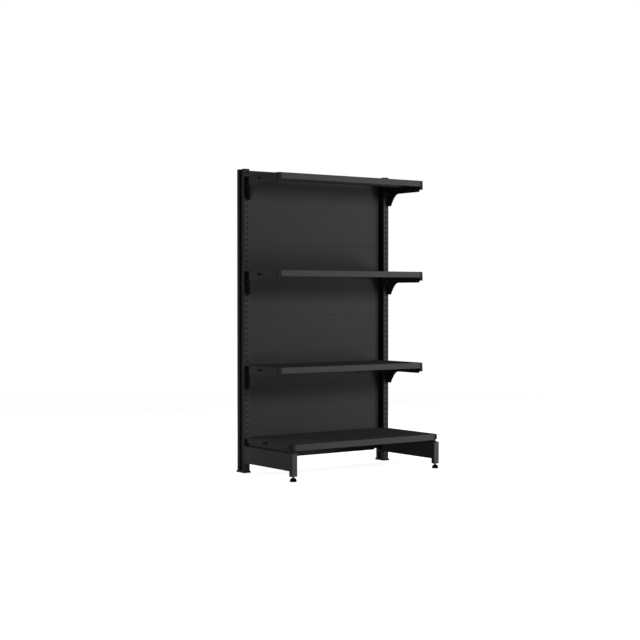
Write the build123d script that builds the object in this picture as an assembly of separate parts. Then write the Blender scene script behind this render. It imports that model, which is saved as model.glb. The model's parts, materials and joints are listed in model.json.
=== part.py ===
from build123d import *
import os
from math import cos, pi, radians, sin

# Single-sided gondola shelving bay: two slotted uprights joined by stacked back panels,
# two base legs with screw-down levellers, a base shelf and three shelves on hook-on brackets.
#
# Millimetres. +X runs to the right as a shopper faces the bay, +Y to the rear and +Z up.
# Every piece is drawn with y = 0 on the uprights' front faces and z = 0 on the floor.
# On export the whole bay is moved along Y, so that its origin is the middle of its footprint.

# ---------------------------------------------------------------- driving dimensions
# Bay and uprights
bay_width = 800.0           # between the uprights' centre lines
upright_width = 30.0        # left to right
tube_depth = 20.0           # front to rear, of each of an upright's two slotted tubes
tube_wall = 2.0
tube_corner = 2.5           # outer corner radius of the tubes
core_width = 12.0           # the narrow channel that joins the two tubes
groove_width = 20.0         # between the two tubes, where the back panels stand
upright_height = 1364.0     # top of the tubes, above the floor

# Slots in the uprights
slot_width = 4.0
slot_height = 13.0
slot_pitch = 25.0
slot_gauge = 9.5            # between the two columns of slots
slot_start = 51.0           # centre of the lowest slot, above the floor
foot_hole_width = 5.0       # long hole near the foot of each slotted face
foot_hole_height = 21.0
foot_hole_level = 26.5

# Plastic cap and shoe of an upright
cap_thickness = 4.0
cap_edge = 1.5
plug_length = 12.0
plug_clearance = 0.3
shoe_height = 9.5
shoe_flare = 3.5            # how far the shoe's foot stands out all round
shoe_taper = 14.0           # degrees
sole_thickness = 3.0
shoe_clearance = 0.2

# Back panels
panel_count = 4
panel_sheet = 1.0
panel_foot = 52.0           # lower edge of the lowest panel
panel_setback = 37.0        # front of the panels, behind the uprights' front faces
panel_return = 15.0         # depth of the folds along a panel's upper and lower edges
panel_side_clearance = 1.0
panel_bend = 1.5
notch_width = 28.0          # cut-outs at the lowest panel's bottom corners
notch_height = 6.0
rest_height = 14.0          # block in the groove that the lowest panel stands on
rest_edge = 2.0

# Pressed claws that hook into the slots
claw_neck = 6.0             # height of the part that passes through the slot
claw_drop = 6.0             # how far the lip hangs below the neck
claw_lip = 2.5              # thickness of the lip, front to rear
claw_gap = 0.3              # between the lip and the tube's wall
claw_side_gap = 0.4         # between a shelf bracket's claws and the left sides of their slots

# Shelves
sheet = 1.2
bend = 2.0                  # outer radius of the folds; a bracket stands clear of it inside a skirt
fit = 0.5                   # between a shelf and the uprights
panel_gap = 0.3             # between a shelf's rear fold and the panels
front_lip = 12.0            # fold along the bottom of the front band
rear_fold = 20.0
level_slot_count = 17       # slots from one shelf to the next
top_level_down = 2          # slots left free above the top shelf's uppermost claw
shelf_rise = 9.0            # from the centre of a bracket's top slot to the shelf's surface

shelf_reach = 265.0         # front of the shelves, ahead of the uprights
shelf_band = 27.0           # height of the front band
shelf_skirt = 39.0          # height of the side skirts
shelf_skirt_rear = 27.0     # the skirts stop this far ahead of the uprights
shelf_cap_depth = 15.0
shelf_cap_width = 15.0
shelf_cap_height = 41.5
shelf_cap_lean = 2.0        # the cap is this much narrower at its top
shelf_cap_round = 2.0
cap_tongue = 14.0           # the cap's tongue, behind the front band
tongue_thickness = 3.0
tongue_margin = 5.0         # tongue to the top of the shelf
grip_slot_length = 42.0     # long hole in each skirt
grip_slot_width = 8.0
grip_slot_centre = 117.0
grip_slot_drop = 16.0
stiffener_crown = 40.0      # hat section under each shelf
stiffener_height = 20.0
stiffener_flange = 12.0
stiffener_end = 22.0        # from the stiffener's end to the bracket or skirt

# Shelf brackets
bracket_thickness = 2.0
nose_gap = 19.0             # from a bracket's nose to the front of its shelf
bracket_arm = 50.5          # depth of the arm, below the shelf's surface
bracket_heel = 106.5        # lowest edge, below the shelf's surface
bracket_heel_width = 32.0
nose_length = 5.0           # slanted corner of the nose
nose_height = 9.0
knee_start = 91.0           # where the arm's lower edge starts to curve down
knee_radius = 40.0
knee_turn = 45.0            # degrees turned by the first curve
claw_rows = (0, 1, 3)       # slots taken, counted down from the bracket's top slot
relief_depth = 3.0          # shallow notch in the rear edge between the claws
relief_height = 12.0
relief_drop = 46.5
pin_hole = 12.0
pin_hole_reach = 107.0
pin_hole_drop = 12.0

# Base shelf
base_reach = 367.0
base_top = 158.0
base_inset = 3.0            # from the uprights' outer faces to the skirts
base_band = 28.0
base_skirt = 19.5           # outer face of each skirt, above its step
base_step = 7.0             # the skirts step inwards by this much
base_foot = 15.0            # inward fold at the bottom of each skirt
base_skirt_rear = 22.0
base_skirt_front = 6.0      # from the skirts' stepped part to the band
base_cap_depth = 22.0
base_cap_width = 20.0
base_cap_height = 24.0
base_cap_recess = 4.0       # open joint between the cap and the band
base_cap_nose = 7.5         # plan radius of the cap's front corners
base_cap_round = 4.0
lock_slot_front = 186.0     # L-shaped hole in each skirt, whose leg runs out through the step
lock_slot_rear = 144.0
lock_slot_top = 3.0
lock_slot_height = 11.0
lock_slot_leg = 10.0

# Base legs and levellers
leg_reach = 375.0
leg_sheet = 2.5
leg_bend = 4.0
leg_width = 30.0
leg_top = 122.0
leg_web_bottom = 45.0
leg_post_bottom = 22.0
leg_post_depth = 20.0
leg_step_radius = 3.0
leg_claw_slots = (1, 2)     # slots taken, counted up from the lowest
buffer_width = 14.0         # strip between a leg and the base shelf's foot
buffer_height = 4.5
buffer_inset = 1.0          # from the skirt's stepped part
buffer_end = 4.0            # from the post's front face
leveller_inset = 11.5       # stem centre behind the post's front face
stem_diameter = 10.0
stem_clearance = 0.05       # radial, in the nut and the pad
stem_hole = 11.0
stem_top = 58.0
stem_point = 1.0
thread_nut_width = 17.0     # across flats
thread_nut_height = 8.0
pad_diameter = 29.5
pad_edge = 4.0
pad_height = 16.0
pad_neck = 15.0             # diameter of the pad's flat top
pad_floor = 5.0             # under the stem's lower end

# ---------------------------------------------------------------- worked-out dimensions
upright_depth = tube_depth + groove_width + tube_depth
upright_x = bay_width / 2
inner_face = upright_x - upright_width / 2
outer_face = upright_x + upright_width / 2
slot_count = int((upright_height - slot_start - slot_pitch / 2) // slot_pitch) + 1
slot_x = upright_x + slot_gauge / 2
panel_height = (upright_height - panel_foot) / panel_count

shelf_names = ("lower", "middle", "top")
top_claw_slot = slot_count - top_level_down
bracket_reach = shelf_reach - nose_gap
bracket_side = slot_x - slot_width / 2 + claw_side_gap
shelf_half_width = bracket_side + bracket_thickness + bend
base_half_width = outer_face - base_inset
base_seat = leg_top + buffer_height

leveller_reach = leg_reach - leveller_inset
footprint_front = max(leg_reach, leveller_reach + pad_diameter / 2)
footprint_rear = upright_depth + shoe_flare
origin_shift = (footprint_front - footprint_rear) / 2


def slot_level(index):
    """Height of a slot's centre."""
    return slot_start + index * slot_pitch


def shelf_slot(level):
    """The slot that a shelf bracket's top claw takes."""
    steps_down = len(shelf_names) - 1 - level
    return top_claw_slot - steps_down * level_slot_count


def shelf_top(level):
    """Height of a shelf's surface."""
    return slot_level(shelf_slot(level)) + shelf_rise


# ---------------------------------------------------------------- helpers
def box(x0, x1, y0, y1, z0, z1):
    """Box between two corners."""
    corner = Pos(x0, y0, z0)
    return corner * Box(x1 - x0, y1 - y0, z1 - z0, align=(Align.MIN, Align.MIN, Align.MIN))


def folded(points, thickness, radius):
    """Section of folded sheet: `points` is its outer side, clockwise, with rounded folds."""
    outer_side = FilletPolyline(*points, radius=radius)
    return make_face(offset(outer_side, thickness, side=Side.RIGHT).edges())


def along_x(section, x0, x1):
    """Run a section drawn in (y, z) from x0 to x1."""
    return extrude(Plane.YZ.offset(x0) * section, x1 - x0)


def along_y(section, y0, y1):
    """Run a section drawn in (x, z) from y0 to y1."""
    return extrude(Plane.XZ.offset(-y0) * section, y0 - y1)


def along_z(section, z0, z1):
    """Run a section drawn in (x, y) from z0 to z1."""
    return extrude(Plane.XY.offset(z0) * section, z1 - z0)


def mirrored(shape):
    """The same piece for the other end of the bay."""
    return mirror(shape, Plane.YZ)


def both_ends(shape):
    """A feature at the right end and its mirror image at the left end."""
    return shape + mirrored(shape)


# ---------------------------------------------------------------- uprights
def slot_pattern():
    """The two columns of slots and the long foot hole, drawn in (x, z) about the centre line."""
    middle = slot_level((slot_count - 1) / 2)
    grid = GridLocations(slot_gauge, slot_pitch, 2, slot_count)
    slots = [Pos(0, middle) * place * Rectangle(slot_width, slot_height) for place in grid]
    foot_hole = Pos(0, foot_hole_level) * Rectangle(foot_hole_width, foot_hole_height)
    return Sketch() + slots + foot_hole


def slotted_tube():
    """The front tube of an upright, centred on x = 0, with slots in its front wall."""
    outside = RectangleRounded(upright_width, tube_depth, tube_corner)
    inside = Rectangle(upright_width - 2 * tube_wall, tube_depth - 2 * tube_wall)
    tube = along_z(Pos(0, tube_depth / 2) * (outside - inside), sole_thickness, upright_height)
    return tube - along_y(slot_pattern(), -tube_wall, 2 * tube_wall)


def rear_of(tube):
    """The rear tube: the front one turned about the upright's middle."""
    return mirror(tube, Plane.XZ.offset(-upright_depth / 2))


def core_channel():
    """The channel that joins the two tubes; its sides are the bottoms of the two grooves."""
    outside = Rectangle(core_width, groove_width)
    inside = Pos(0, -tube_wall) * Rectangle(core_width - 2 * tube_wall, groove_width)
    walls = Pos(0, upright_depth / 2) * (outside - inside)
    return along_z(walls, sole_thickness, upright_height)


def upright_outline():
    """Plan of an upright: two tubes and the core between them, with the grooves at its sides."""
    tube = RectangleRounded(upright_width, tube_depth, tube_corner)
    front = Pos(0, tube_depth / 2) * tube
    rear = Pos(0, upright_depth - tube_depth / 2) * tube
    core = Pos(0, upright_depth / 2) * Rectangle(core_width, groove_width + tube_corner)
    return front + rear + core


def upright_cap():
    """Moulded cap that closes an upright, with a plug in each tube."""
    plate = along_z(upright_outline(), upright_height, upright_height + cap_thickness)
    top_edges = plate.faces().sort_by(Axis.Z)[-1].edges()
    plate = fillet(top_edges, cap_edge)
    plug_width = upright_width - 2 * tube_wall - 2 * plug_clearance
    plug_depth = tube_depth - 2 * tube_wall - 2 * plug_clearance
    plug = Rectangle(plug_width, plug_depth)
    for centre in (tube_depth / 2, upright_depth - tube_depth / 2):
        plate += along_z(Pos(0, centre) * plug, upright_height - plug_length, upright_height)
    return plate


def upright_shoe():
    """Moulded shoe under an upright, spreading towards the floor."""
    foot = Rectangle(upright_width + 2 * shoe_flare, upright_depth + 2 * shoe_flare)
    pocket = Rectangle(upright_width + 2 * shoe_clearance, upright_depth + 2 * shoe_clearance)
    middle = Pos(0, upright_depth / 2)
    shoe = middle * extrude(foot, shoe_height, taper=shoe_taper)
    return shoe - middle * along_z(pocket, sole_thickness, shoe_height)


# ---------------------------------------------------------------- back panels
def back_panel(index):
    """A folded panel: returns at its top and bottom edges, and edges that stand in the grooves."""
    low = panel_foot + index * panel_height
    high = low + panel_height
    front = panel_setback
    middle_half = inner_face - panel_side_clearance
    edge = upright_x - core_width / 2 - panel_side_clearance
    returns = front + panel_return
    hem = tube_depth + groove_width
    tray_points = ((returns, low), (front, low), (front, high), (returns, high))
    panel = along_x(folded(tray_points, panel_sheet, panel_bend), -middle_half, middle_half)
    hem_points = ((middle_half, front), (edge, front), (edge, hem))
    right_edge = mirror(folded([(-x, y) for x, y in hem_points], panel_sheet, panel_bend), Plane.YZ)
    return panel + both_ends(along_z(right_edge, low, high))


def lowest_panel():
    """The lowest panel, with its bottom corners cut out beside the uprights."""
    end = inner_face
    start = end - notch_width
    corner = box(start, end, 0, upright_depth, panel_foot, panel_foot + notch_height)
    return back_panel(0) - both_ends(corner)


def panel_rest():
    """Block in the right upright's inner groove, under the edge of the lowest panel."""
    core_side = upright_x - core_width / 2
    low = panel_foot - rest_height
    block = box(inner_face, core_side, tube_depth, tube_depth + groove_width, low, panel_foot)
    lower_edge = block.faces().sort_by(Axis.Z)[0].edges().filter_by(Axis.Y).sort_by(Axis.X)[0]
    return chamfer(lower_edge, rest_edge)


# ---------------------------------------------------------------- claws and brackets
def claw(slot_index):
    """A claw in its slot, drawn in (y, z): it rests on the slot's lower end."""
    bottom = slot_level(slot_index) - slot_height / 2
    top = bottom + claw_neck
    tip = bottom - claw_drop
    front = tube_wall + claw_gap
    rear = front + claw_lip
    return Polygon(
        (-leg_sheet, bottom), (front, bottom), (front, tip), (rear, tip), (rear, top), (-leg_sheet, top),
        align=None,
    )


def bracket_plate(level):
    """Outline of a shelf bracket, drawn in (y, z): arm, curved knee and heel."""
    surface = shelf_top(level)
    top = surface - sheet
    arm = surface - bracket_arm
    heel = surface - bracket_heel
    turn = radians(knee_turn)
    knee = (-knee_start, arm)
    shin = (knee[0] + knee_radius * sin(turn), knee[1] - knee_radius * (1 - cos(turn)))
    nose = -bracket_reach
    straight = Polyline(
        (-bracket_heel_width, heel), (0, heel), (0, top), (nose, top),
        (nose, arm + nose_height), (nose + nose_length, arm), knee,
    )
    first_curve = TangentArc(knee, shin, tangent=(1, 0))
    second_curve = TangentArc(shin, (-bracket_heel_width, heel), tangent=(cos(turn), -sin(turn)))
    return make_face([straight, first_curve, second_curve])


def shelf_bracket(level):
    """The right bracket of a shelf, hooked into the right-hand column of its upright's slots."""
    surface = shelf_top(level)
    plate = bracket_plate(level)
    plate -= Pos(-pin_hole_reach, surface - pin_hole_drop) * Circle(pin_hole / 2)
    plate -= Pos(0, surface - relief_drop) * Rectangle(2 * relief_depth, relief_height)
    for row in claw_rows:
        plate += claw(shelf_slot(level) - row)
    return along_x(plate, bracket_side, bracket_side + bracket_thickness)


# ---------------------------------------------------------------- shelves
def shelf_pan(top, reach, half_width, cap_width, band):
    """A shelf's folded sheet without its skirts: surface, front band and rear fold."""
    rear = panel_setback - panel_gap
    middle_half = inner_face - fit
    front_points = [(front_lip - reach, top - band), (-reach, top - band), (-reach, top)]
    full_points = front_points + [(rear, top), (rear, top - rear_fold)]
    short_points = front_points + [(-fit, top)]
    pan = along_x(folded(full_points, sheet, bend), -middle_half, middle_half)
    return pan + along_x(folded(short_points, sheet, bend), cap_width - half_width, half_width - cap_width)


def side_skirt(top, half_width, lower_points, front, skirt_rear):
    """The right skirt, folded down from the surface and cut back ahead of the upright."""
    middle_half = inner_face - fit
    section = folded([(middle_half, top), (half_width, top), *lower_points], sheet, bend)
    lowest = lower_points[-1][1]
    clear = box(middle_half, half_width + sheet, -skirt_rear, 0, lowest - sheet, top - bend)
    return along_y(section, front, -fit) - clear


def cap_with_tongue(block, top, reach, inner_side, tongue_end, band):
    """A moulded corner cap with the tongue that holds it behind the band."""
    behind = sheet - reach
    tongue = box(
        inner_side - cap_tongue, tongue_end, behind, behind + tongue_thickness,
        top - band + 2 * sheet, top - tongue_margin,
    )
    return block + tongue


def rounded_top(block, radius):
    """Round the upper edges of a cap, apart from the one against the surface."""
    upper_edges = block.faces().sort_by(Axis.Z)[-1].edges().sort_by(Axis.Y)[:-1]
    return fillet(upper_edges, radius)


def shelf_board(level):
    """One of the upper shelves, with a long hole through each skirt."""
    top = shelf_top(level)
    skirt = side_skirt(
        top, shelf_half_width, [(shelf_half_width, top - shelf_skirt)],
        shelf_cap_depth - shelf_reach, shelf_skirt_rear,
    )
    hole = Pos(-grip_slot_centre, top - grip_slot_drop) * SlotOverall(grip_slot_length, grip_slot_width)
    skirt -= along_x(hole, inner_face, outer_face)
    pan = shelf_pan(top, shelf_reach, shelf_half_width, shelf_cap_width, shelf_band)
    return pan + both_ends(skirt)


def shelf_cap(level):
    """The right corner cap of an upper shelf, a little wider at its foot."""
    top = shelf_top(level)
    low = top - shelf_cap_height
    inner_side = shelf_half_width - shelf_cap_width
    outline = Polygon(
        (inner_side, low), (shelf_half_width, low),
        (shelf_half_width - shelf_cap_lean, top), (inner_side, top),
        align=None,
    )
    block = rounded_top(along_y(outline, -shelf_reach, shelf_cap_depth - shelf_reach), shelf_cap_round)
    return cap_with_tongue(block, top, shelf_reach, inner_side, inner_side + shelf_cap_round, shelf_band)


def stiffener(surface, middle, half_length):
    """Hat section welded under a shelf, drawn in (y, z) round its inner side."""
    under = surface - sheet
    crown = stiffener_crown / 2
    brim = crown + stiffener_flange
    low = under - stiffener_height
    points = (
        (middle - brim, under), (middle - crown, under), (middle - crown, low),
        (middle + crown, low), (middle + crown, under), (middle + brim, under),
    )
    return along_x(folded(points, sheet, sheet), -half_length, half_length)


def shelf_stiffener(level):
    """Stiffener of an upper shelf, between its two brackets."""
    return stiffener(shelf_top(level), -shelf_reach / 2, bracket_side - stiffener_end)


def base_cap_room():
    """The corner of the base shelf that its right cap fills."""
    return box(
        base_half_width - base_cap_width, outer_face, -base_reach, base_cap_depth - base_reach,
        base_top - base_cap_height - fit, base_top,
    )


def base_shelf():
    """The deep bottom shelf, whose stepped skirts end in feet that rest on the buffers."""
    edge = base_top - base_skirt
    recessed = base_half_width - base_step
    stepped_points = [
        (base_half_width, edge), (recessed, edge),
        (recessed, base_seat), (recessed - base_foot, base_seat),
    ]
    skirt = side_skirt(
        base_top, base_half_width, stepped_points, base_skirt_front - base_reach, base_skirt_rear,
    )
    high = base_top - lock_slot_top
    low = high - lock_slot_height
    leg_end = edge - sheet
    front = -lock_slot_front
    leg_rear = front + lock_slot_leg
    lock_slot = Polygon(
        (front, high), (front, leg_end), (leg_rear, leg_end), (leg_rear, low),
        (-lock_slot_rear, low), (-lock_slot_rear, high),
        align=None,
    )
    skirt -= along_x(lock_slot, base_half_width - 2 * sheet, outer_face)
    skirt -= base_cap_room()
    pan = shelf_pan(base_top, base_reach, base_half_width, base_cap_width, base_band)
    return pan + both_ends(skirt)


def base_cap():
    """The right corner cap of the base shelf, bull-nosed and set off from the band by a joint."""
    inner_side = base_half_width - base_cap_width + base_cap_recess
    rear = base_cap_depth - base_reach
    plan = Polygon(
        (inner_side, -base_reach), (base_half_width, -base_reach),
        (base_half_width, rear), (inner_side, rear),
        align=None,
    )
    plan = fillet(plan.vertices().sort_by(Axis.Y)[:2], base_cap_nose)
    block = rounded_top(along_z(plan, base_top - base_cap_height, base_top), base_cap_round)
    tongue_end = inner_side + base_cap_recess + base_cap_round
    return cap_with_tongue(
        block, base_top, base_reach, inner_side - base_cap_recess, tongue_end, base_band,
    )


def base_stiffener():
    """Stiffener of the base shelf, clear of the skirts' feet."""
    half_length = base_half_width - base_step - base_foot - stiffener_end
    return stiffener(base_top, -base_reach / 2, half_length)


# ---------------------------------------------------------------- base legs and levellers
def leg_web():
    """Side plate of a base leg, drawn in (y, z): a deep rail that steps down to the post."""
    post_rear = leg_post_depth - leg_reach
    front = leg_bend - leg_reach
    high = leg_top - leg_bend
    plate = Polygon(
        (0, leg_web_bottom), (0, high), (front, high), (front, leg_post_bottom),
        (post_rear, leg_post_bottom), (post_rear, leg_web_bottom),
        align=None,
    )
    step = plate.vertices().sort_by_distance((post_rear, leg_web_bottom))[0]
    return fillet(step, leg_step_radius)


def base_leg():
    """Base leg about x = 0: web on its left, flange on top, folded post in front, claws behind."""
    left = -leg_width / 2
    right = leg_width / 2
    post_rear = leg_post_depth - leg_reach
    under_top = leg_top - leg_sheet
    rail_points = ((left, leg_web_bottom + leg_bend), (left, leg_top), (right, leg_top))
    post_points = (
        (right, post_rear), (right, -leg_reach), (left, -leg_reach), (left, post_rear),
    )
    leg = along_x(leg_web(), left, left + leg_sheet)
    leg += along_y(folded(rail_points, leg_sheet, leg_bend), leg_sheet - leg_reach, 0)
    leg += along_z(folded(post_points, leg_sheet, leg_bend), leg_post_bottom, under_top)
    leg += box(left + leg_bend, right, -leg_reach, leg_sheet - leg_reach, under_top, leg_top)
    leg += box(left, right, -leg_sheet, 0, leg_web_bottom, under_top)
    leg += foot_plate()
    for row in leg_claw_slots:
        for column in (-slot_gauge / 2, slot_gauge / 2):
            leg += along_x(claw(row), column - leg_sheet / 2, column + leg_sheet / 2)
    return leg


def base_buffer():
    """Strip on top of the right leg, under the base shelf's foot."""
    outer = base_half_width - base_step - buffer_inset
    return box(
        outer - buffer_width, outer, buffer_end - leg_reach, -base_skirt_rear, leg_top, base_seat,
    )


def foot_plate():
    """Plate that closes the post's lower end and carries the leveller's nut."""
    side = leg_width / 2 - leg_sheet / 2
    front = leg_sheet / 2 - leg_reach
    rear = leg_post_depth - leg_reach
    plate = box(-side, side, front, rear, leg_post_bottom, leg_post_bottom + leg_sheet)
    hole = Pos(0, -leveller_reach) * Circle(stem_hole / 2)
    return plate - along_z(hole, leg_post_bottom, leg_post_bottom + leg_sheet)


def leg_nut():
    """Nut welded on the foot plate."""
    low = leg_post_bottom + leg_sheet
    hexagon = RegularPolygon(thread_nut_width / 2, 6, major_radius=False)
    ring = hexagon - Circle(stem_diameter / 2 + stem_clearance)
    return along_z(Pos(0, -leveller_reach) * ring, low, low + thread_nut_height)


def leveller_stem():
    """Threaded stem, drawn smooth, with pointed-off ends."""
    stem = along_z(Pos(0, -leveller_reach) * Circle(stem_diameter / 2), pad_floor, stem_top)
    return chamfer(stem.edges().filter_by(GeomType.CIRCLE), stem_point)


def leveller_pad():
    """Mushroom-shaped foot with a socket for the stem."""
    radius = pad_diameter / 2
    neck = pad_neck / 2
    sides = Polyline((neck, pad_height), (0, pad_height), (0, 0), (radius, 0), (radius, pad_edge))
    dome = TangentArc((radius, pad_edge), (neck, pad_height), tangent=(0, 1))
    pad = revolve(Plane.XZ * make_face([sides, dome]), Axis.Z)
    socket = along_z(Circle(stem_diameter / 2 + stem_clearance), pad_floor, pad_height)
    return Pos(0, -leveller_reach, 0) * (pad - socket)


# ---------------------------------------------------------------- assembly
def upright_pieces():
    """The pieces that both uprights are made of, about x = 0."""
    front = slotted_tube()
    return {
        "front_section": front,
        "rear_section": rear_of(front),
        "core": core_channel(),
        "cap": upright_cap(),
        "shoe": upright_shoe(),
    }


def leg_pieces():
    """The pieces of a base leg and its leveller, about x = 0."""
    return {
        "base_leg": base_leg(),
        "leg_nut": leg_nut(),
        "leveller_stem": leveller_stem(),
        "leveller_pad": leveller_pad(),
    }


def assembly():
    """Every piece of the bay by name."""
    pieces = {}
    for side, x in (("left", -upright_x), ("right", upright_x)):
        for name, shape in upright_pieces().items():
            pieces[f"upright_{side}_{name}"] = Pos(x, 0, 0) * shape
        for name, shape in leg_pieces().items():
            pieces[f"{name}_{side}"] = Pos(x, 0, 0) * shape
    pieces["back_panel_1"] = lowest_panel()
    for index in range(1, panel_count):
        pieces[f"back_panel_{index + 1}"] = back_panel(index)
    paired = {"panel_rest": panel_rest(), "base_cap": base_cap(), "base_buffer": base_buffer()}
    pieces["base_shelf"] = base_shelf()
    pieces["base_shelf_stiffener"] = base_stiffener()
    for level, shelf in enumerate(shelf_names):
        pieces[f"{shelf}_shelf"] = shelf_board(level)
        pieces[f"{shelf}_shelf_stiffener"] = shelf_stiffener(level)
        paired[f"{shelf}_shelf_cap"] = shelf_cap(level)
        bracket = shelf_bracket(level)
        pieces[f"{shelf}_bracket_right"] = bracket
        pieces[f"{shelf}_bracket_left"] = Pos(-bay_width, 0, 0) * bracket
    for name, shape in paired.items():
        pieces[f"{name}_right"] = shape
        pieces[f"{name}_left"] = mirrored(shape)
    return pieces


os.makedirs("parts", exist_ok=True)
for piece_name, piece in assembly().items():
    export_step(Pos(0, origin_shift, 0) * piece, f"parts/{piece_name}.step")
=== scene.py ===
# %% [markdown]
# # A single-sided gondola shelving bay
#
# This lesson dresses a shop shelving bay that was built in a CAD program. The CAD parts are the
# real construction, so they are never moved or reshaped here. What Blender adds is the finish of
# every surface, the fine threads that CAD leaves smooth, the floor, the lamps and the camera.
#
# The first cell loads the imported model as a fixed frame. Every CAD part arrives as one object that
# sits at the origin, with its place in its mesh, in metres.

# %% Load the frame
import json
from math import cos, pi, radians, sin

import bmesh
import bpy
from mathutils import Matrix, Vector


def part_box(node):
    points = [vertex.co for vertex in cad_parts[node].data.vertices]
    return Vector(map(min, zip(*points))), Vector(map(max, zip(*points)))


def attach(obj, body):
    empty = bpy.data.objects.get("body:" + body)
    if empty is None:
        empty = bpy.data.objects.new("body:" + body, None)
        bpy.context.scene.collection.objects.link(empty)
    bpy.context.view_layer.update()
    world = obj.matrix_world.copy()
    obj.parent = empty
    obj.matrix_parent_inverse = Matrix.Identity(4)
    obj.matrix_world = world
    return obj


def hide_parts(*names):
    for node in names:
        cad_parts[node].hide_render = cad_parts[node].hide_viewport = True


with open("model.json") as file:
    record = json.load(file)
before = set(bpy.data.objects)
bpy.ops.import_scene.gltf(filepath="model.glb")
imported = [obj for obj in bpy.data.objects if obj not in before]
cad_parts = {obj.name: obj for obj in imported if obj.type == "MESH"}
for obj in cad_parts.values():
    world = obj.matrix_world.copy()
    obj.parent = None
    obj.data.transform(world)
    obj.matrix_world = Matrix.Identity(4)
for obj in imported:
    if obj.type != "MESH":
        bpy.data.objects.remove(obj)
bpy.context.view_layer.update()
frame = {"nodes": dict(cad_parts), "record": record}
nodes = frame["nodes"]
SIDES = ("left", "right")

# %% [markdown]
# The script places everything from the parts it has loaded. The slotted faces of the uprights are
# the plane that the shelves hang on, so their place is measured once and used by the lamps and the
# camera below.

# %% Measure the bay
upright_low, upright_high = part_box("upright_left_front_section")
front_face = upright_low.y
bay_half = abs(upright_low.x + upright_high.x) / 2
print("the uprights' front faces are at y =", round(front_face, 4))
print("the tubes' tops are at z =", round(upright_high.z, 3))

# %% [markdown]
# ## The paint
#
# The steel is powder coated: a baked-on paint with a very fine orange-peel texture. It could be a
# single dark grey, but a real coat varies a little in tone and gloss, and its bumps break up the
# highlights. Six paints, three plastics and the blackened steel use the same effect, so it is built
# once as a node group with named inputs, and every material places it with its own values.

# %% Helper that wires shader nodes
def add_node(tree, kind, values=None, **settings):
    """Adds a node, sets its properties and then its inputs by name or number."""
    node = tree.nodes.new(kind)
    for name, value in settings.items():
        setattr(node, name, value)
    for name, value in (values or {}).items():
        node.inputs[name].default_value = value
    return node


def new_group(name, inputs, outputs):
    """Makes an empty node group with its sockets: each is (name, kind, default)."""
    group = bpy.data.node_groups.new(name, "ShaderNodeTree")
    for socket_name, kind, default in inputs:
        socket = group.interface.new_socket(socket_name, in_out="INPUT", socket_type=kind)
        socket.default_value = default
    for socket_name, kind in outputs:
        group.interface.new_socket(socket_name, in_out="OUTPUT", socket_type=kind)
    entry = group.nodes.new("NodeGroupInput")
    leave = group.nodes.new("NodeGroupOutput")
    return group, entry, leave


print("shader helpers ready")

# %% [markdown]
# The grain group mixes two noises. The coarse one drifts over a hand's width and changes the tone,
# as a spray gun's passes do. The fine one is the orange peel itself, under a millimetre across, and
# drives the height. Object coordinates keep both fixed to the part when it moves.

# %% The grain effect
def make_grain_group():
    """Coating grain: a tone, a roughness and a height that change over the surface."""
    group, entry, leave = new_group(
        "coating_grain",
        [
            ("Colour", "NodeSocketColor", (0.05, 0.05, 0.05, 1)),
            ("Tone Change", "NodeSocketFloat", 0.1),
            ("Roughness", "NodeSocketFloat", 0.5),
            ("Roughness Change", "NodeSocketFloat", 0.1),
            ("Patch Size", "NodeSocketFloat", 0.12),
            ("Grain Size", "NodeSocketFloat", 0.0009),
        ],
        [("Colour", "NodeSocketColor"), ("Roughness", "NodeSocketFloat"), ("Height", "NodeSocketFloat")],
    )
    link = group.links.new
    place = add_node(group, "ShaderNodeTexCoord")
    patch_scale = add_node(group, "ShaderNodeMath", {0: 1.0}, operation="DIVIDE")
    grain_scale = add_node(group, "ShaderNodeMath", {0: 1.0}, operation="DIVIDE")
    patches = add_node(group, "ShaderNodeTexNoise", {"Detail": 3.0, "Roughness": 0.5})
    grain = add_node(group, "ShaderNodeTexNoise", {"Detail": 2.0, "Roughness": 0.6})
    link(entry.outputs["Patch Size"], patch_scale.inputs[1])
    link(entry.outputs["Grain Size"], grain_scale.inputs[1])
    for texture, scale in ((patches, patch_scale), (grain, grain_scale)):
        link(place.outputs["Object"], texture.inputs["Vector"])
        link(scale.outputs[0], texture.inputs["Scale"])
    total = add_node(group, "ShaderNodeMath", operation="ADD")
    change = add_node(group, "ShaderNodeMath", {1: 0.5, 2: -0.5}, operation="MULTIPLY_ADD")
    link(patches.outputs["Fac"], total.inputs[0])
    link(grain.outputs["Fac"], total.inputs[1])
    link(total.outputs[0], change.inputs[0])
    tone = add_node(group, "ShaderNodeMath", {2: 1.0}, operation="MULTIPLY_ADD")
    link(change.outputs[0], tone.inputs[0])
    link(entry.outputs["Tone Change"], tone.inputs[1])
    tinted = add_node(group, "ShaderNodeVectorMath", operation="SCALE")
    link(entry.outputs["Colour"], tinted.inputs[0])
    link(tone.outputs[0], tinted.inputs["Scale"])
    rough = add_node(group, "ShaderNodeMath", operation="MULTIPLY_ADD")
    link(change.outputs[0], rough.inputs[0])
    link(entry.outputs["Roughness Change"], rough.inputs[1])
    link(entry.outputs["Roughness"], rough.inputs[2])
    link(tinted.outputs[0], leave.inputs["Colour"])
    link(rough.outputs[0], leave.inputs["Roughness"])
    link(grain.outputs["Fac"], leave.inputs["Height"])
    return group


coating_grain = make_grain_group()
print("group", coating_grain.name, "has", len(coating_grain.nodes), "nodes")


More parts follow.
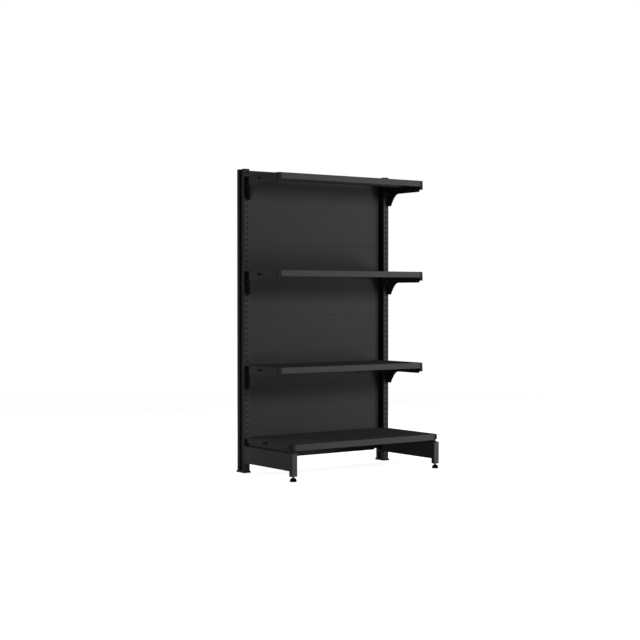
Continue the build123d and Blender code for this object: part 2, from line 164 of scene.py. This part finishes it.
# %% A coated material
def coated(
    name, colour, roughness, gloss=0.0, tone=0.25, rough_change=0.2, patch=0.12, grain=0.0009, bump=0.15
):
    """A material whose colour, roughness and bump come from the grain group."""
    material = bpy.data.materials.new(name)
    material.use_nodes = True
    tree = material.node_tree
    shader = tree.nodes["Principled BSDF"]
    shader.inputs["Specular IOR Level"].default_value = gloss
    effect = add_node(tree, "ShaderNodeGroup", node_tree=coating_grain)
    effect.inputs["Colour"].default_value = (*colour, 1)
    effect.inputs["Tone Change"].default_value = tone
    effect.inputs["Roughness"].default_value = roughness
    effect.inputs["Roughness Change"].default_value = rough_change
    effect.inputs["Patch Size"].default_value = patch
    effect.inputs["Grain Size"].default_value = grain
    relief = add_node(tree, "ShaderNodeBump", {"Strength": bump, "Distance": grain / 2})
    tree.links.new(effect.outputs["Colour"], shader.inputs["Base Color"])
    tree.links.new(effect.outputs["Roughness"], shader.inputs["Roughness"])
    tree.links.new(effect.outputs["Height"], relief.inputs["Height"])
    tree.links.new(relief.outputs["Normal"], shader.inputs["Normal"])
    return material


print("coated() makes a paint or a plastic from the grain group")

# %% [markdown]
# Six painted parts share one recipe. They stay separate materials because each is a part that could be
# ordered in another colour. They are one paint, but each part's grey is set to how it is lit: the panels
# and stiffeners darker as painted shade, the shelves and legs lighter as painted light. The coat is
# matt, so it has no gloss of its own.

# %% The paints
def neutral(level):
    """A dark grey with a trace of blue, as this kind of coat has."""
    return (level, level, level * 1.03)


# One paint at four greys: the panels' and stiffeners' grey is darker as painted shade, the shelves' and
# legs' greys are lighter as painted light.
UPRIGHT_GREY = neutral(0.066)
PANEL_GREY_PAINTED_SHADE = neutral(0.060)
SHELF_GREY_PAINTED_LIGHT = neutral(0.081)
LEG_GREY_PAINTED_LIGHT = neutral(0.093)
paint_rows = {
    "upright_paint": dict(colour=UPRIGHT_GREY, roughness=0.6),
    "panel_paint": dict(colour=PANEL_GREY_PAINTED_SHADE, roughness=0.65, patch=0.2),
    "leg_paint": dict(colour=LEG_GREY_PAINTED_LIGHT, roughness=0.6),
    "shelf_paint": dict(colour=SHELF_GREY_PAINTED_LIGHT, roughness=0.6),
    "stiffener_paint": dict(colour=PANEL_GREY_PAINTED_SHADE, roughness=0.65),
    "bracket_paint": dict(colour=UPRIGHT_GREY, roughness=0.6),
}
materials = {name: coated(name, **row) for name, row in paint_rows.items()}
print("paints:", ", ".join(materials))

# %% [markdown]
# The caps, shoes and feet are moulded plastic. Plastic is darker than the paint, and the grain of a
# mould is coarser than orange peel. The feet's stems are blackened steel, a metal that shows only
# in its highlights.

# %% The plastics and the blackened steel
MOULD_GRAIN = 0.0014
plastic_rows = {
    "black_plastic": dict(colour=(0.014, 0.014, 0.015), roughness=0.6, gloss=0.05, bump=0.2),
    "corner_plastic": dict(colour=(0.024, 0.024, 0.025), roughness=0.5, gloss=0.02, bump=0.15),
    "foot_plastic": dict(colour=(0.003, 0.003, 0.0035), roughness=0.6, gloss=0.0, bump=0.2),
}
for name, row in plastic_rows.items():
    materials[name] = coated(name, grain=MOULD_GRAIN, **row)
steel = coated("fastener_steel", (0.016, 0.016, 0.018), 0.35, gloss=0.5, patch=0.01, grain=0.0006)
steel.node_tree.nodes["Principled BSDF"].inputs["Metallic"].default_value = 1.0
materials["fastener_steel"] = steel
print("materials:", len(materials))

# %% Give each CAD part its material
for row in frame["record"]["subparts"]:
    for slot in nodes[row["node"]].material_slots:
        slot.material = materials[row["material_slot"]]

# %% [markdown]
# ## The leveller stems
#
# Each foot is screwed up and down on an M10 stem. CAD draws the stem as a smooth rod, which is all
# that the checks need, but the thread shows between the post and the foot and inside the open post.
# A thread is one tooth swept round and up: the tooth is drawn flat as four points, and a Screw
# modifier turns it, one pitch for each turn. Neighbouring turns then meet at the root, so the whole
# thread is one skin.

# %% One tooth of the thread
THREAD_PITCH = 0.0015
THREAD_DEPTH = 0.00085
CREST_SHARE = 0.15
STEM_SIDES = 24
STEM_POINT = 0.001
POINT_SHARE = 0.84
SPARE_TURNS = 4
MERGE_DISTANCE = 0.00001


def select_points(piece, wanted):
    """Selects only the points of a mesh in edit mode that pass a test on their place."""
    bpy.ops.mesh.select_all(action="DESELECT")
    shape = bmesh.from_edit_mesh(piece.data)
    for point in shape.verts:
        if wanted(point.co):
            point.select = True
    shape.select_flush(True)
    bmesh.update_edit_mesh(piece.data)


def thread_tooth(place, crest_radius):
    """The outline of one tooth, open at the root, beside the stem's axis at a place."""
    bpy.ops.object.select_all(action="DESELECT")
    bpy.ops.mesh.primitive_plane_add(size=1, location=place, rotation=(pi / 2, 0, 0))
    bpy.ops.object.transform_apply(location=False, rotation=True, scale=False)
    tooth = bpy.context.object
    bpy.ops.object.mode_set(mode="EDIT")
    bpy.ops.transform.resize(value=(THREAD_DEPTH, 1, THREAD_PITCH))
    bpy.ops.transform.translate(value=(crest_radius - THREAD_DEPTH / 2, 0, 0))
    bpy.ops.mesh.delete(type="ONLY_FACE")
    middle = crest_radius - THREAD_DEPTH / 2
    select_points(tooth, lambda point: point.x < middle)
    bpy.ops.mesh.delete(type="EDGE")
    select_points(tooth, lambda point: point.x > middle)
    bpy.ops.transform.resize(value=(1, 1, CREST_SHARE))
    bpy.ops.object.mode_set(mode="OBJECT")
    return tooth


print("a tooth is", THREAD_DEPTH * 1000, "mm deep and", THREAD_PITCH * 1000, "mm from the next")

# %% [markdown]
# The swept thread starts below the stem and ends above it. Two cuts across make the flat ends, and
# a third and a fourth cut near them give a ring of points, so that each end can be drawn in a little,
# as the end of a rolled thread is.

# %% Sweep, cut and point the stem
def cut_across(height, centre, keep=None):
    """Cuts the selected stem level at a height, and keeps all of it or the part above or below."""
    bpy.ops.mesh.select_all(action="SELECT")
    bpy.ops.mesh.bisect(
        plane_co=(centre.x, centre.y, height), plane_no=(0, 0, 1), use_fill=keep is not None,
        clear_inner=keep == "above", clear_outer=keep == "below",
    )


def threaded_stem(node):
    """A stem with a real thread, the size and place of a smooth CAD stem."""
    low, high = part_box(node)
    centre = (low + high) / 2
    crest_radius = (high.x - low.x) / 2
    start = Vector((centre.x, centre.y, low.z - THREAD_PITCH))
    stem = thread_tooth(start, crest_radius)
    sweep = stem.modifiers.new("sweep", "SCREW")
    sweep.axis = "Z"
    sweep.angle = 2 * pi
    sweep.screw_offset = THREAD_PITCH
    sweep.iterations = int((high.z - low.z) / THREAD_PITCH) + SPARE_TURNS
    sweep.steps = STEM_SIDES
    sweep.render_steps = STEM_SIDES
    sweep.use_merge_vertices = True
    sweep.merge_threshold = MERGE_DISTANCE
    bpy.ops.object.modifier_apply(modifier=sweep.name)
    bpy.ops.object.transform_apply(location=True, rotation=True, scale=True)
    bpy.ops.object.mode_set(mode="EDIT")
    bpy.ops.mesh.select_all(action="SELECT")
    bpy.ops.mesh.remove_doubles(threshold=MERGE_DISTANCE)
    cut_across(low.z + STEM_POINT, centre)
    cut_across(high.z - STEM_POINT, centre)
    cut_across(low.z, centre, keep="above")
    cut_across(high.z, centre, keep="below")
    for end in (low.z, high.z):
        select_points(stem, lambda point: abs(point.z - end) < STEM_POINT / 10)
        end_middle = (centre.x, centre.y, end)
        bpy.ops.transform.resize(value=(POINT_SHARE, POINT_SHARE, 1), center_override=end_middle)
    bpy.ops.mesh.select_all(action="SELECT")
    bpy.ops.mesh.normals_make_consistent(inside=False)
    bpy.ops.object.mode_set(mode="OBJECT")
    return stem


def copy_beside(piece, name, shift):
    """A copy with its own mesh, moved along X, with its place in its mesh."""
    bpy.ops.object.select_all(action="DESELECT")
    piece.select_set(True)
    bpy.context.view_layer.objects.active = piece
    bpy.ops.object.duplicate(linked=False)
    copy = bpy.context.object
    copy.name = name
    copy.location.x += shift
    bpy.ops.object.transform_apply(location=True, rotation=True, scale=True)
    return copy


left_stem = threaded_stem("leveller_stem_left")
left_stem.name = "threaded_stem_left"
right_stem = copy_beside(left_stem, "threaded_stem_right", 2 * bay_half)
for side, stem in zip(SIDES, (left_stem, right_stem)):
    stem.data.materials.append(materials["fastener_steel"])
    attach(stem, f"{side}_leveller_stem")
    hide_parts(f"leveller_stem_{side}")
    print(stem.name, "has", len(stem.data.polygons), "faces")

# %% [markdown]
# ## Floor and backdrop
#
# The bay stands in a white studio. The floor is a wide plane whose look to the camera is mostly its
# own pale light, so that it stays white away from the bay and still takes a shadow. The world is
# white to the camera and to reflections, and black to everything else, so it doesn't light the bay
# from above.

# %% Helper that finds who is looking
def seen_directly(tree):
    """A socket that is 1 for the camera, a reflection or a view through glass, and 0 for light."""
    rays = add_node(tree, "ShaderNodeLightPath")
    either = add_node(tree, "ShaderNodeMath", operation="MAXIMUM")
    any_of_them = add_node(tree, "ShaderNodeMath", operation="MAXIMUM")
    tree.links.new(rays.outputs["Is Camera Ray"], either.inputs[0])
    tree.links.new(rays.outputs["Is Glossy Ray"], either.inputs[1])
    tree.links.new(either.outputs[0], any_of_them.inputs[0])
    tree.links.new(rays.outputs["Is Transmission Ray"], any_of_them.inputs[1])
    return any_of_them.outputs[0]


print("seen_directly() is used by the floor and by the world")

# %% Floor
FLOOR_SIZE = 40.0
FLOOR_REFLECTS = 0.7
NEAR_GLOW = 0.9
NEAR_EDGE = 1.5
FAR_EDGE = 6.0
bpy.ops.object.select_all(action="DESELECT")
bpy.ops.mesh.primitive_plane_add(size=FLOOR_SIZE, location=(0, 0, 0))
floor = bpy.context.object
floor.name = "studio_floor"
floor_material = bpy.data.materials.new("studio_floor")
floor_material.use_nodes = True
tree = floor_material.node_tree
shader = tree.nodes["Principled BSDF"]
shader.inputs["Base Color"].default_value = (FLOOR_REFLECTS, FLOOR_REFLECTS, FLOOR_REFLECTS, 1)
shader.inputs["Roughness"].default_value = 0.9
shader.inputs["Specular IOR Level"].default_value = 0.0
shader.inputs["Emission Color"].default_value = (1, 1, 1, 1)
place = add_node(tree, "ShaderNodeTexCoord")
distance = add_node(tree, "ShaderNodeVectorMath", operation="LENGTH")
fade_values = {"From Min": NEAR_EDGE, "From Max": FAR_EDGE, "To Min": NEAR_GLOW, "To Max": 1.0}
fade = add_node(tree, "ShaderNodeMapRange", fade_values)
level = add_node(tree, "ShaderNodeMath", operation="MULTIPLY")
tree.links.new(place.outputs["Object"], distance.inputs[0])
tree.links.new(distance.outputs["Value"], fade.inputs["Value"])
tree.links.new(seen_directly(tree), level.inputs[0])
tree.links.new(fade.outputs["Result"], level.inputs[1])
tree.links.new(level.outputs[0], shader.inputs["Emission Strength"])
floor.data.materials.append(floor_material)
print("floor", FLOOR_SIZE, "m wide, white from", FAR_EDGE, "m outwards")

# %% World
world = bpy.data.worlds.new("studio")
bpy.context.scene.world = world
world.use_nodes = True
world_tree = world.node_tree
backdrop = world_tree.nodes["Background"]
backdrop.inputs["Color"].default_value = (1, 1, 1, 1)
world_tree.links.new(seen_directly(world_tree), backdrop.inputs["Strength"])
print("the world", world.name, "is white to look at and gives no light")

# %% [markdown]
# ## Lamps
#
# Three soft lamps light the front and sides from little above the bay's own height, or lower, so the
# fronts are bright, the tops of the shelves are dim and the rooms under them fall into shade. A
# fourth stands high behind the bay, for the back and the top shelf, and the back panels keep it off
# the front. The pale floor throws part of the light back up and fills the lower parts. Each lamp's
# strength is given as the brightness that it alone would give a white card facing it at the bay.

# %% Lamps
LAMP_DISTANCE = 3.2
LAMP_WIDTH = 0.9
LAMP_HEIGHT = 0.7
bay_middle = Vector((0, front_face, 0))


def soft_lamp(name, bearing, height, brightness):
    """An area lamp that faces the bay level; bearing 0 is straight in front and right is +."""
    turn = radians(bearing)
    inward = Vector((-sin(turn), cos(turn), 0))
    bpy.ops.object.light_add(type="AREA", location=bay_middle - LAMP_DISTANCE * inward)
    lamp = bpy.context.object
    lamp.name = name
    lamp.location.z = height
    lamp.rotation_euler = inward.to_track_quat("-Z", "Y").to_euler()
    lamp.data.shape = "RECTANGLE"
    lamp.data.size = LAMP_WIDTH
    lamp.data.size_y = LAMP_HEIGHT
    lamp.data.energy = brightness * (pi * LAMP_DISTANCE) ** 2
    print(name, "is at", [round(v, 2) for v in lamp.location], "with", round(lamp.data.energy), "W")


lamp_rows = {
    "key_lamp": dict(bearing=15, height=1.75, brightness=0.46),
    "low_lamp": dict(bearing=38, height=0.35, brightness=0.32),
    "rear_lamp": dict(bearing=-135, height=0.9, brightness=0.27),
    "back_lamp": dict(bearing=168, height=2.4, brightness=0.7),
}
for name, row in lamp_rows.items():
    soft_lamp(name, **row)

# %% [markdown]
# ## Camera
#
# The view is from the front left, at chest height, with a long lens that keeps the uprights nearly
# parallel. The camera's place is given from the middle of the uprights' front faces.

# %% Camera
YAW = 35.913
DIP = 1.049
LENS = 77.40
LEFT_OF_BAY = 3.7627
AHEAD_OF_BAY = 5.2024
EYE_HEIGHT = 0.8023
SENSOR_WIDTH = 36.0
camera_data = bpy.data.cameras.new("view")
camera_data.lens = LENS
camera_data.sensor_width = SENSOR_WIDTH
camera_data.dof.use_dof = False
camera = bpy.data.objects.new("view", camera_data)
bpy.context.scene.collection.objects.link(camera)
camera.location = (-LEFT_OF_BAY, front_face - AHEAD_OF_BAY, EYE_HEIGHT)
camera.rotation_euler = (radians(90 - DIP), 0, radians(-YAW))
bpy.context.scene.camera = camera
bpy.context.scene.view_settings.view_transform = "Standard"
print("camera at", [round(v, 3) for v in camera.location])
